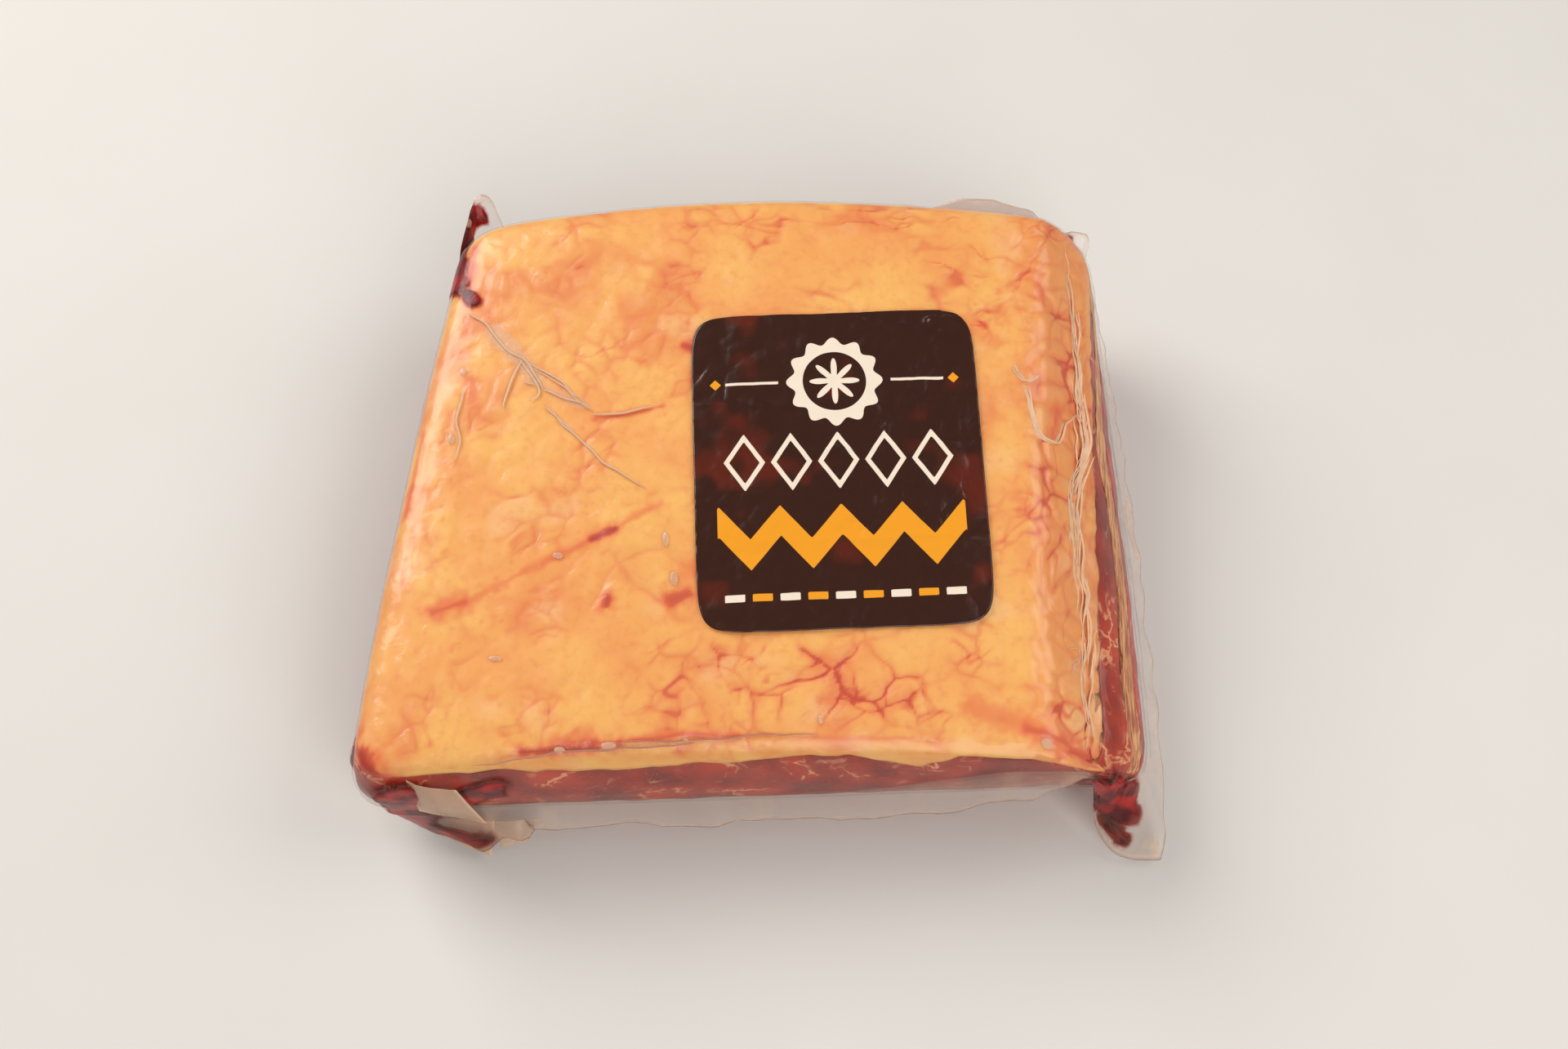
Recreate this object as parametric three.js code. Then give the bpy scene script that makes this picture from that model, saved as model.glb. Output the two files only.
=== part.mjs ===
// A block of raw strip loin in a shrunk vacuum bag. It has the lean loin with a cap of fat
// over it, a wedge of side muscle behind a seam of fat along its right edge, the bag's welded
// edge with an ear at each corner, and a printed label on the fat.
// Millimetres, X to the right, Y to the back and Z up from the table the pack lies on.
import * as THREE from 'three';
import { mergeVertices } from 'three/addons/utils/BufferGeometryUtils.js';

const { lerp, smoothstep, degToRad } = THREE.MathUtils;

// The block's outline at three levels of its height. left and right give X at the front and
// back ends, front and back give Y at the left and right ends, and bow moves the middle of the
// left, right, front and back sides outwards.
const levels = [
  { at: 0, left: [-109, -91], right: [102, 95], front: [-85, -79], back: [75, 74], bow: [1, 4, -1, 9] },
  { at: 0.45, left: [-119, -98], right: [115.5, 107], front: [-95, -87], back: [84, 86], bow: [1, 2, 0, 10] },
  { at: 1, left: [-114, -92], right: [97, 103], front: [-92, -90], back: [80, 82], bow: [2, -3, -7, 10] },
];
const cornerPower = 20;

// Rough half width and half depth, to turn millimetres on the top into shares.
const halfWidth = 104;
const halfDepth = 84;

// Height of the top over the table, its crown, and its fall to the ridge along the right.
const frontHeight = 51;
const backHeight = 66.5;
const crown = 2;
const ridgeFall = 10;
const ridgeStart = 0.8;

// Low folds in the fat, pressed flatter under the label.
const foldHeight = 0.45;
const foldLength = 31;
const foldBend = 46;
const foldSway = 9;
const foldSlope = 0.35;
const foldUnderLabel = 0.35;

// Layers: the fat cap, thinner at the front and along the ridge, and the seam that cuts off
// the side muscle.
const fatThickness = 12;
const frontFatThickness = 5;
const frontFatEnd = -0.7;
const ridgeFatThickness = [2.5, 6.5];
const shoulderFat = 3.5;
const shoulderPlaces = [0.78, 0.9, 0.97, 1];
const fatWave = 1;
const fatWaveLength = 75;
const fatWaveDepth = 40;
const seamThickness = 5;
const seamTop = [0.65, 0.83];
const seamFoot = 0.7;
const seamCurve = 1.6;
const seamSway = 0.03;
const seamSwayTurn = 7;
const pieceGap = 0.5;

// Cells of the meat's pieces across and along the block, the same so that faces lie together.
const blockCells = [22, 20];
const seamRows = 5;

// The bag's welded edge: a thin fin from a root on the meat to a free edge, given for the
// front, right, back and left sides.
const filmThickness = 0.8;
const rootHeight = [26, 24, 30, 26];
const finReach = [4.5, 6.5, 9, 6];
const finEdgeHeight = [11, 14, 28, 19];
const finGap = 0.6;
const finRipple = 1;
const finRipples = 9;

// Along the front the root climbs towards the right corner, where the bag is pulled tight.
const rootClimb = 17;
const edgeClimb = 8;
const climbPlaces = [0.55, 0.9, 0.92, 1];

// Ears and flaps where the bag stands out beyond its fin. at counts sides from the front left
// corner, and tip is where the film ends.
const ears = [
  { name: 'front left corner', at: 0.03, width: 0.1, tip: [-101, -99, 5] },
  { name: 'front left flap', at: 0.175, width: 0.035, tip: [-80, -104, 4] },
  { name: 'front right ear', at: 1.0, width: 0.1, tip: [116, -103.5, 3.5] },
  { name: 'back right ear', at: 2.0, width: 0.035, tip: [107.5, 91.5, 35] },
  { name: 'turned up back edge', at: 2.14, width: 0.13, tip: [79, 102, 48] },
  { name: 'back left ear', at: 2.97, width: 0.045, tip: [-98.5, 104, 47] },
];

const labelSize = [86, 100];
const labelCentre = [22.8, -0.9];
const labelTurn = degToRad(2.3);
const labelThickness = 0.6;
const labelGap = 0.5;
const labelCornerPower = 11;

const materials = {
  lean: new THREE.MeshStandardMaterial({ color: '#8c2a33', roughness: 0.35 }),
  fat: new THREE.MeshStandardMaterial({ color: '#efbb7c', roughness: 0.4 }),
  seam: new THREE.MeshStandardMaterial({ color: '#e8c9a2', roughness: 0.4 }),
  sideMuscle: new THREE.MeshStandardMaterial({ color: '#a33a38', roughness: 0.35 }),
  film: new THREE.MeshStandardMaterial({ color: '#d9c4b4', roughness: 0.15, transparent: true, opacity: 0.45 }),
  label: new THREE.MeshStandardMaterial({ color: '#2c1a15', roughness: 0.25 }),
};

// From 0 up to 1 between the first two places and back to 0 between the last two.
function riseAndFall(value, [start, top, end, foot]) {
  return smoothstep(value, start, top) * (1 - smoothstep(value, end, foot));
}

// Shares of the three levels at height w, so that a side curves smoothly through all of them.
function levelShares(w) {
  return levels.map((level) => levels
    .filter((other) => other !== level)
    .reduce((share, other) => share * (w - other.at) / (level.at - other.at), 1));
}

// A place in plan at one level, for u from left to right and v from front to back, both -1 to 1.
function levelPoint({ left, right, front, back, bow }, u, v) {
  const across = (u + 1) / 2;
  const along = (v + 1) / 2;
  const leftX = lerp(left[0], left[1], along) - bow[0] * (1 - v * v);
  const rightX = lerp(right[0], right[1], along) + bow[1] * (1 - v * v);
  const frontY = lerp(front[0], front[1], across) - bow[2] * (1 - u * u);
  const backY = lerp(back[0], back[1], across) + bow[3] * (1 - u * u);
  return [lerp(leftX, rightX, across), lerp(frontY, backY, along)];
}

function topHeight(u, v) {
  const slope = lerp(frontHeight, backHeight, (v + 1) / 2);
  const dome = crown * (1 - u * u) * (1 - v * v);
  return slope + dome - ridgeFall * smoothstep(u, ridgeStart, 1) ** 1.5;
}

// Height of the fat's low folds at a place in plan, which run in bent lines to the back right.
function foldRelief(x, y) {
  const bent = x * foldSlope + y + foldSway * Math.sin(x / foldBend * 2 * Math.PI);
  const [labelX, labelY] = labelCentre;
  const off = Math.max(Math.abs(x - labelX) / labelSize[0], Math.abs(y - labelY) / labelSize[1]);
  const share = lerp(foldUnderLabel, 1, smoothstep(off, 0.45, 0.7));
  return foldHeight * share * Math.sin(bent / foldLength * 2 * Math.PI);
}

// The block as a warped box: u, v from -1 to 1 and w from 0 at the table to 1 at the top.
// The power mean of the three rounds the box's edges and corners.
function blockPoint(u, v, w) {
  const h = 2 * w - 1;
  const sizes = [u, v, h].map(Math.abs);
  const mean = sizes.reduce((sum, size) => sum + size ** cornerPower, 0) ** (1 / cornerPower);
  const shrink = mean > 0 ? Math.max(...sizes) / mean : 1;
  const height = (h * shrink + 1) / 2;
  const point = new THREE.Vector3();
  levelShares(height).forEach((share, i) => {
    const [x, y] = levelPoint(levels[i], u * shrink, v * shrink);
    point.x += share * x;
    point.y += share * y;
  });
  const relief = foldRelief(point.x, point.y) * smoothstep(height, 0.9, 1);
  point.z = topHeight(u * shrink, v * shrink) * height + relief;
  return point;
}

// Height share of the underside of the fat cap. Under the ridge's shoulder, where the block's
// side already turns down, the fat reaches deeper to keep its thickness.
function fatFloor(u, v) {
  const bent = u * halfWidth + v * fatWaveDepth;
  const wave = fatWave * Math.sin(bent / fatWaveLength * 2 * Math.PI);
  const ridgeShare = smoothstep(u, ridgeStart - 0.1, 1);
  const ridgeThickness = lerp(ridgeFatThickness[0], ridgeFatThickness[1], (v + 1) / 2);
  const thickness = lerp(frontFatThickness, fatThickness + wave, smoothstep(v, -1, frontFatEnd));
  const shoulder = shoulderFat * riseAndFall(u, shoulderPlaces);
  return 1 - (lerp(thickness, ridgeThickness, ridgeShare) + shoulder) / topHeight(u, v);
}

// Where the seam reaches the right side, as a share of the height there.
function seamHeight(v) {
  return lerp(seamTop[0], seamTop[1], (v + 1) / 2) + seamSway * Math.sin(v * seamSwayTurn);
}

// The seam curves up from the underside at seamFoot to the right side, for s from 0 to 1.
function seamLine(s, v, shift) {
  const u = lerp(seamFoot, 1, s ** seamCurve) - (1 - s) * shift / halfWidth;
  const w = s * (seamHeight(v) + shift / topHeight(1, v));
  return [u, w];
}

// A box of cells, with merged vertices moved by a function of their places from -1 to 1.
function warpedBox(cells, place) {
  const box = new THREE.BoxGeometry(2, 2, 2, ...cells);
  box.deleteAttribute('normal');
  box.deleteAttribute('uv');
  const geometry = mergeVertices(box);
  const position = geometry.getAttribute('position');
  for (let i = 0; i < position.count; i += 1) {
    const point = place(position.getX(i), position.getY(i), position.getZ(i));
    position.setXYZ(i, point.x, point.y, point.z);
  }
  geometry.computeVertexNormals();
  return geometry;
}

// Cells get closer towards both ends, where the block is rounded.
function crowd(t) {
  return Math.sin(t * Math.PI / 2) * 0.6 + t * 0.4;
}

// The lean's rows up to the seam's top end, and from there to the fat.
function leanGeometry() {
  const upperRows = 4;
  const seamShare = seamRows / (seamRows + upperRows);
  return warpedBox([blockCells[0], blockCells[1], seamRows + upperRows], (a, b, c) => {
    const u = crowd(a);
    const v = crowd(b);
    const rise = (c + 1) / 2;
    const [sideU, sideW] = seamLine(Math.min(rise / seamShare, 1), v, seamThickness / 2 + pieceGap);
    const above = Math.max(rise - seamShare, 0) / (1 - seamShare);
    const acrossU = lerp(-1, sideU, (u + 1) / 2);
    return blockPoint(acrossU, v, lerp(sideW, fatFloor(acrossU, v), above));
  });
}

// The fat's and the seam's boxes are turned a quarter, because the triangles on opposite faces
// of a box slope opposite ways and theirs have to lie along their neighbours'.
function fatGeometry() {
  return warpedBox([blockCells[1], blockCells[0], 3], (a, b, c) => {
    const u = crowd(-b);
    const v = crowd(a);
    const floor = fatFloor(u, v) + pieceGap / topHeight(u, v);
    return blockPoint(u, v, lerp(floor, 1, crowd((c + 1) / 2)));
  });
}

function seamGeometry() {
  return warpedBox([blockCells[1], seamRows, 1], (a, b, c) => {
    const v = crowd(a);
    const [u, w] = seamLine((1 - b) / 2, v, c * seamThickness / 2);
    return blockPoint(u, v, w);
  });
}

// The side muscle fills the corner between the seam, the right side and the underside.
function sideMuscleGeometry() {
  const shift = -seamThickness / 2 - pieceGap;
  return warpedBox([seamRows, blockCells[1], 3], (a, b, c) => {
    const v = crowd(b);
    const [u, w] = seamLine((a + 1) / 2, v, shift);
    return blockPoint(u, v, w * (c + 1) / 2);
  });
}

// A place round the block's side: at counts sides from the front left corner.
function sidePlace(at) {
  const side = Math.floor(at) % 4;
  const along = at - Math.floor(at);
  const t = 2 * along - 1;
  return [[t, -1], [1, t], [-t, 1], [-1, -t]][side];
}

// A size that changes from side to side over the last tenth before each corner and the first
// tenth after it.
function bySide(sizes, at) {
  const side = Math.floor(at) % 4;
  const along = at - Math.floor(at);
  const before = lerp(sizes[(side + 3) % 4], sizes[side], smoothstep(along, -0.1, 0.1));
  return lerp(before, sizes[(side + 1) % 4], smoothstep(along, 0.9, 1.1));
}

function rootPoint(at) {
  const [u, v] = sidePlace(at);
  const height = bySide(rootHeight, at) + rootClimb * riseAndFall(at, climbPlaces);
  return blockPoint(u, v, height / topHeight(u, v));
}

// Level direction straight out of the block's side.
function outward(at) {
  const step = 0.01;
  const tangent = rootPoint((at + step) % 4).sub(rootPoint((at - step + 4) % 4));
  return new THREE.Vector3(tangent.y, -tangent.x, 0).normalize();
}

// How far round the block two places are apart, in sides.
function apart(at, other) {
  const distance = Math.abs(at - other) % 4;
  return Math.min(distance, 4 - distance);
}

function finEdge(at) {
  const edge = rootPoint(at).addScaledVector(outward(at), bySide(finReach, at));
  const ripple = finRipple * Math.sin(at * finRipples * 2 * Math.PI);
  edge.z = bySide(finEdgeHeight, at) + edgeClimb * riseAndFall(at, climbPlaces) + ripple;
  return edge;
}

// The fin's free edge with each ear pulled out to its tip.
function bagEdge(at) {
  const edge = finEdge(at);
  for (const ear of ears) {
    const pull = new THREE.Vector3(...ear.tip).sub(finEdge(ear.at));
    edge.addScaledVector(pull, Math.exp(-((apart(at, ear.at) / ear.width) ** 4)));
  }
  return edge;
}

// A place on the fin's middle surface, for t from 0 at the root to 1 at the edge.
function finPoint(at, t) {
  const root = rootPoint(at).addScaledVector(outward(at), finGap);
  return root.lerp(bagEdge(at), t);
}

function bagPoint(at, t, face) {
  const step = 0.004;
  const along = finPoint((at + step) % 4, t).sub(finPoint((at - step + 4) % 4, t));
  const normal = along.cross(bagEdge(at).sub(rootPoint(at))).normalize();
  return finPoint(at, t).addScaledVector(normal, -face * filmThickness / 2);
}

// The fin is a closed ring: a flat rectangle turned round an axis, then warped. Its steps are
// crowded towards the corners.
function bagGeometry() {
  const steps = 96;
  const innerRadius = 1;
  const cornerCrowding = 0.13;
  const profile = [[1, -1], [1.4, -1], [2, -1], [2, 1], [1.4, 1], [1, 1], [1, -1]]
    .map(([x, y]) => new THREE.Vector2(x, y));
  const ring = new THREE.LatheGeometry(profile, steps);
  ring.deleteAttribute('normal');
  ring.deleteAttribute('uv');
  const geometry = mergeVertices(ring, 1e-4);
  const position = geometry.getAttribute('position');
  for (let i = 0; i < position.count; i += 1) {
    const [x, y, z] = [position.getX(i), position.getY(i), position.getZ(i)];
    const turn = (Math.atan2(x, z) / (2 * Math.PI) + 1) % 1;
    const side = Math.floor(turn * 4 + 1e-6) % 4;
    const along = turn * 4 - side;
    const at = side + along - cornerCrowding * Math.sin(2 * Math.PI * along);
    const point = bagPoint((at + 4) % 4, Math.hypot(x, z) - innerRadius, y);
    position.setXYZ(i, point.x, point.y, point.z);
  }
  geometry.computeVertexNormals();
  return geometry;
}

// Height of the block's top at a place in plan, found by stepping towards it.
function topAt(x, y) {
  let [u, v] = [0, 0];
  for (let i = 0; i < 12; i += 1) {
    const point = blockPoint(u, v, 1);
    u += (x - point.x) / halfWidth;
    v += (y - point.y) / halfDepth;
  }
  return blockPoint(u, v, 1).z;
}

function labelGeometry() {
  return warpedBox([9, 11, 1], (a, b, c) => {
    const [s, t] = [crowd(a), crowd(b)];
    const powers = Math.abs(s) ** labelCornerPower + Math.abs(t) ** labelCornerPower;
    const mean = powers ** (1 / labelCornerPower);
    const shrink = mean > 0 ? Math.max(Math.abs(s), Math.abs(t)) / mean : 1;
    const flat = new THREE.Vector2(s * labelSize[0], t * labelSize[1]).multiplyScalar(shrink / 2);
    const [x, y] = flat.rotateAround(new THREE.Vector2(), labelTurn).toArray();
    const height = topAt(x + labelCentre[0], y + labelCentre[1]) + labelGap + (c + 1) / 2 * labelThickness;
    return new THREE.Vector3(x + labelCentre[0], y + labelCentre[1], height);
  });
}

function piece(name, geometry, material) {
  const mesh = new THREE.Mesh(geometry, material);
  mesh.name = name;
  return mesh;
}

const pack = new THREE.Group();
pack.name = 'strip_loin_pack';
pack.add(
  piece('lean_loin', leanGeometry(), materials.lean),
  piece('fat_cap', fatGeometry(), materials.fat),
  piece('seam_fat', seamGeometry(), materials.seam),
  piece('side_muscle', sideMuscleGeometry(), materials.sideMuscle),
  piece('vacuum_bag', bagGeometry(), materials.film),
  piece('label', labelGeometry(), materials.label),
);

export default pack;
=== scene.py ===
import math
import bpy
import numpy as np
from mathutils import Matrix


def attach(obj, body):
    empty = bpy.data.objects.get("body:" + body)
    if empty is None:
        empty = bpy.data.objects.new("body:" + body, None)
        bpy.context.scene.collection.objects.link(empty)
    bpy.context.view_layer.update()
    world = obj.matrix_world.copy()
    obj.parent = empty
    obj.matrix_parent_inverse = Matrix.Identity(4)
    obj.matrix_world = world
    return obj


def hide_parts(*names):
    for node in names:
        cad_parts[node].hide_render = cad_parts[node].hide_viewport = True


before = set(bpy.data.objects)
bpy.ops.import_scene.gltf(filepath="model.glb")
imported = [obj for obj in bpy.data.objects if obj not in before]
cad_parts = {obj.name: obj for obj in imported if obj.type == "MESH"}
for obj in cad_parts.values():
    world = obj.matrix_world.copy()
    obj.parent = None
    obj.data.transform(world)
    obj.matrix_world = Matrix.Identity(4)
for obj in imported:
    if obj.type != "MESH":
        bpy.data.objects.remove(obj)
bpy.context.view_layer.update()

# The loin: one long muscle of lean beef, cut straight across at the front and at the back.
# Its cut faces and its right side show between the fat and the bag's welded edge, dark red
# to purple because no air reaches the meat under the film.
MM = 0.001
CORNER_POWER = 20
FRONT_HEIGHT, BACK_HEIGHT = 51, 66.5
CROWN = 2
RIDGE_FALL, RIDGE_START = 10, 0.8
# The fat's thickness in mm: over most of the block, along the ridge at its front and back end,
# and what is added under the ridge's shoulder, between these places across.
FAT_THICKNESS = 12
RIDGE_FAT_THICKNESS = (1.4, 6.5)
SHOULDER_FAT, SHOULDER_PLACES = 3.5, (0.78, 0.9, 0.97, 1)
# The same along the front edge, from left to right: X and mm. The front edge's middle is 9 mm
# left of the block's, and its thin fat ends at this place from front to back.
FRONT_MIDDLE, FRONT_FAT_END = -9, -0.7
FRONT_FAT = ((-112, 4.5), (-71, 5.5), (-40, 7.5), (-9, 5.5), (12, 4), (22, 3.5), (38, 8.5),
             (46, 6), (52, 3), (70, 2.6), (86, 3.5), (100, 2.5))
FAT_WAVE, FAT_WAVE_LENGTH, FAT_WAVE_SLANT = 1, 75, 40
# The seam starts at this place across the underside and ends on the right side at these
# shares of the height, at the front and at the back.
SEAM_THICKNESS, SEAM_FOOT = 5, 0.7
SEAM_TOP = (0.71, 0.83)
SEAM_SHARE = 5 / 9
HALF_WIDTH, HALF_DEPTH = 104, 84
MEAT_LIFT = 0.15
# The block's outline at three levels of its height: X of the left and right sides at their
# front and back ends, Y of the front and back sides at their left and right ends, and how
# far the middle of each side bows out.
LEVELS = (
    {"at": 0, "left": (-109, -91), "right": (102, 95), "front": (-85, -79), "back": (75, 74),
     "bow": (1, 4, -1, 9)},
    {"at": 0.45, "left": (-119, -98), "right": (115.5, 107), "front": (-95, -87),
     "back": (84, 86), "bow": (1, 2, 0, 10)},
    {"at": 1, "left": (-114, -92), "right": (97, 103), "front": (-92, -90), "back": (80, 82),
     "bow": (2, -3, -7, 10)},
)


def between(low, high, share):
    return low + (high - low) * share


def smooth(value, low, high):
    """Goes from 0 at low to 1 at high in a smooth S."""
    share = np.clip((value - low) / (high - low), 0, 1)
    return share * share * (3 - 2 * share)


def rise_and_fall(value, start, top, end, foot):
    """From 0 up to 1 between start and top, and back to 0 between end and foot."""
    return smooth(value, start, top) * (1 - smooth(value, end, foot))


def noise(x, y, size, seed):
    """Smooth noise from -1 to 1 with bumps about size mm across: random heights at the
    corners of squares, blended inside each square by an S curve in both directions."""
    table = np.random.default_rng(seed).uniform(-1, 1, (64, 64))
    column, row = np.floor(x / size).astype(int), np.floor(y / size).astype(int)
    across, along = smooth(x / size - column, 0, 1), smooth(y / size - row, 0, 1)
    near = between(table[column % 64, row % 64], table[(column + 1) % 64, row % 64], across)
    far = between(table[column % 64, (row + 1) % 64],
                  table[(column + 1) % 64, (row + 1) % 64], across)
    return between(near, far, along)


def rounding(power, *parts):
    """Reach and power mean of parts from -1 to 1. Times the one and over the other, the parts
    keep to a square or cube with round edges."""
    sizes = [abs(part) for part in parts]
    reach = np.maximum.reduce(sizes) + 1e-9
    return reach, reach * sum((size / reach) ** power for size in sizes) ** (1 / power)


def block_point(u, v, w):
    """A place in the block in mm, for u from left to right and v from front to back, both
    -1 to 1, and w from 0 at the underside to 1 at the top. The 20th power mean of the three
    rounds the edges, and the side is the parabola through its three levels."""
    u, v, w = np.broadcast_arrays(u, v, w)
    h = 2 * w - 1
    reach, mean = rounding(CORNER_POWER, u, v, h)
    a, b, c = u * reach / mean, v * reach / mean, (h * reach / mean + 1) / 2
    across, along = (a + 1) / 2, (b + 1) / 2
    x, y = np.zeros(a.shape), np.zeros(a.shape)
    for level in LEVELS:
        share = np.ones(a.shape)
        for other in LEVELS:
            if other is not level:
                share = share * (c - other["at"]) / (level["at"] - other["at"])
        bow = level["bow"]
        left = between(*level["left"], along) - bow[0] * (1 - b * b)
        right = between(*level["right"], along) + bow[1] * (1 - b * b)
        front = between(*level["front"], across) - bow[2] * (1 - a * a)
        back = between(*level["back"], across) + bow[3] * (1 - a * a)
        x = x + share * between(left, right, across)
        y = y + share * between(front, back, along)
    return np.stack([x, y, top_height(a, b) * c], -1)


def top_height(u, v):
    """The top slopes up to the back, with a low crown, and falls to the ridge on the right."""
    crown = CROWN * (1 - u * u) * (1 - v * v)
    fall = RIDGE_FALL * smooth(u, RIDGE_START, 1) ** 1.5
    return between(FRONT_HEIGHT, BACK_HEIGHT, (v + 1) / 2) + crown - fall


def fat_floor(u, v):
    """Share of the height where the fat ends: a slow wave with a ragged edge on it. The fat
    thins towards the front, and under the ridge's shoulder it reaches deeper."""
    wave = FAT_WAVE * np.sin((u * HALF_WIDTH + v * FAT_WAVE_SLANT) / FAT_WAVE_LENGTH * 2 * np.pi)
    x, y = u * HALF_WIDTH, v * HALF_DEPTH
    ragged = 0.9 * noise(x, y, 9, 11) + 0.5 * noise(x, y, 3.4, 12)
    ridge_fat = between(*RIDGE_FAT_THICKNESS, (v + 1) / 2)
    front_fat = np.interp(x + FRONT_MIDDLE, *np.transpose(FRONT_FAT))
    thickness = between(front_fat, FAT_THICKNESS + wave, smooth(v, -1, FRONT_FAT_END))
    thickness = between(thickness, ridge_fat, smooth(u, RIDGE_START - 0.1, 1))
    thickness = thickness + SHOULDER_FAT * rise_and_fall(u, *SHOULDER_PLACES)
    return 1 - (thickness + ragged * np.minimum(1, thickness / 6)) / top_height(u, v)


def seam_line(s, v, shift):
    """Place across and share of the height on the seam, which curves up from the underside,
    at s = 0, to the right side, at s = 1. shift moves it up and to the left in mm."""
    rise = between(*SEAM_TOP, (v + 1) / 2) + 0.03 * np.sin(v * 7)
    across = between(SEAM_FOOT, 1, s ** 1.6) - (1 - s) * shift / HALF_WIDTH
    return across, s * (rise + shift / top_height(1, v))


def square_round(steps):
    """Places round a square from its front left corner, closer together near the corners."""
    t = np.linspace(-1, 1, steps + 1)[:-1]
    t = 0.6 * np.sin(t * np.pi / 2) + 0.4 * t
    one = np.ones(steps)
    return np.concatenate([t, one, -t, -one]), np.concatenate([-one, t, one, -t])


def add_object(name, points, faces, values=None):
    """A mesh object from points in mm and lists of four or three corners, shaded smooth,
    with one number per point for each named value."""
    mesh = bpy.data.meshes.new(name)
    mesh.vertices.add(len(points))
    mesh.vertices.foreach_set("co", (np.asarray(points, float) * MM).ravel())
    corners = np.concatenate([part.ravel() for part in faces])
    sizes = np.concatenate([np.full(len(part), part.shape[1]) for part in faces])
    mesh.loops.add(len(corners))
    mesh.loops.foreach_set("vertex_index", corners.astype(np.int32))
    mesh.polygons.add(len(sizes))
    mesh.polygons.foreach_set("loop_start", (np.cumsum(sizes) - sizes).astype(np.int32))
    mesh.polygons.foreach_set("use_smooth", np.ones(len(sizes), bool))
    mesh.update(calc_edges=True)
    for key, numbers in (values or {}).items():
        layer = mesh.attributes.new(key, "FLOAT", "POINT")
        layer.data.foreach_set("value", np.asarray(numbers, np.float32).ravel())
    piece = bpy.data.objects.new(name, mesh)
    bpy.context.scene.collection.objects.link(piece)
    return piece


def ring_faces(rows, around, first=0):
    """Four-cornered faces between rows of points, each row closed on itself."""
    index = first + np.arange(rows * around).reshape(rows, around)
    following = np.roll(index, -1, 1)
    return np.stack([index[:-1], index[1:], following[1:], following[:-1]], -1).reshape(-1, 4)


def fan_faces(ring, middle, upward):
    """Triangles from a ring to its middle point, facing up or down."""
    following = np.roll(ring, -1)
    pair = [ring, following] if upward else [following, ring]
    return np.stack([np.full(len(ring), middle), *pair], 1)


def ring_bodies(name, bodies, values=None):
    """One object from closed bodies. Each is rings of points, from its top down, closed at
    both ends by a fan to the ring's middle. Each named value has for each body one number,
    or one for each point, and the middles get the mean of their ring."""
    points, faces, first = [], [], 0
    numbers = {key: [] for key in (values or {})}
    for place, rings in enumerate(bodies):
        rows, around, _ = rings.shape
        count = rows * around
        points += [rings.reshape(-1, 3), rings[0].mean(0)[None], rings[-1].mean(0)[None]]
        ring = first + np.arange(around)
        faces += [ring_faces(rows, around, first), fan_faces(ring, first + count, True),
                  fan_faces(ring + count - around, first + count + 1, False)]
        for key, parts in numbers.items():
            number = np.broadcast_to(values[key][place], (rows, around))
            parts += [number.ravel(), [number[0].mean(), number[-1].mean()]]
        first += count + 2
    numbers = {key: np.concatenate(parts) for key, parts in numbers.items()}
    return add_object(name, np.concatenate(points), faces, numbers)


def cube_rings(side_steps, inner_rows, side_rows):
    """The surface of a cube from -1 to 1 as rings: out over the top, down and in below."""
    across, along = square_round(side_steps)
    out = 1 - 0.96 * np.linspace(1, 0, inner_rows) ** 1.7
    size = np.concatenate([out, np.ones(side_rows), out[::-1]])[:, None]
    side = np.linspace(1, -1, side_rows + 2)[1:-1]
    height = np.concatenate([np.ones(inner_rows), side, -np.ones(inner_rows)])[:, None]
    return across * size, along * size, height + 0 * across


def linear(code):
    """An sRGB hex colour as linear red, green, blue and alpha."""
    parts = [int(code[i:i + 2], 16) / 255 for i in (1, 3, 5)]
    return [p / 12.92 if p <= 0.04045 else ((p + 0.055) / 1.055) ** 2.4 for p in parts] + [1]


def add_node(tree, kind, inputs, **settings):
    """A shader node with its settings, and its inputs set to values or linked to sockets."""
    node = tree.nodes.new(kind)
    for key, value in settings.items():
        setattr(node, key, value)
    for key, value in inputs.items():
        if isinstance(value, bpy.types.NodeSocket):
            tree.links.new(value, node.inputs[key])
        else:
            node.inputs[key].default_value = value
    return node


def new_material(name):
    """An empty node material, its tree and its output node."""
    material = bpy.data.materials.new(name)
    material.use_nodes = True
    material.node_tree.nodes.clear()
    return material, material.node_tree, material.node_tree.nodes.new("ShaderNodeOutputMaterial")


def colour_mix(tree, share, low, high):
    """The socket of a colour that goes from low to high with the share."""
    node = add_node(tree, "ShaderNodeMix", {0: share}, data_type="RGBA")
    for socket, value in ((node.inputs[6], low), (node.inputs[7], high)):
        if isinstance(value, bpy.types.NodeSocket):
            tree.links.new(value, socket)
        else:
            socket.default_value = value
    return node.outputs[2]


def object_place(tree):
    return add_node(tree, "ShaderNodeTexCoord", {}).outputs["Object"]


def mesh_values(tree, *names):
    """Sockets of the numbers that the mesh holds for its points."""
    return [add_node(tree, "ShaderNodeAttribute", {}, attribute_name=name).outputs["Fac"]
            for name in names]


def soft_pattern(tree, place, scale, detail, roughness=0.5, distortion=0):
    """Outputs of random clouds: a number and a colour. The scale is in clouds to the metre."""
    return add_node(tree, "ShaderNodeTexNoise", {
        "Vector": place, "Scale": scale, "Detail": detail, "Roughness": roughness,
        "Distortion": distortion}).outputs


def ramp(tree, value, low, high, start=0, end=1):
    """The socket of a number that goes from start to end as the value goes from low to high."""
    inputs = {0: value, 1: low, 2: high, 3: start, 4: end}
    return add_node(tree, "ShaderNodeMapRange", inputs).outputs[0]


def worked_out(tree, operation, *values):
    return add_node(tree, "ShaderNodeMath", dict(enumerate(values)), operation=operation).outputs[0]


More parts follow.
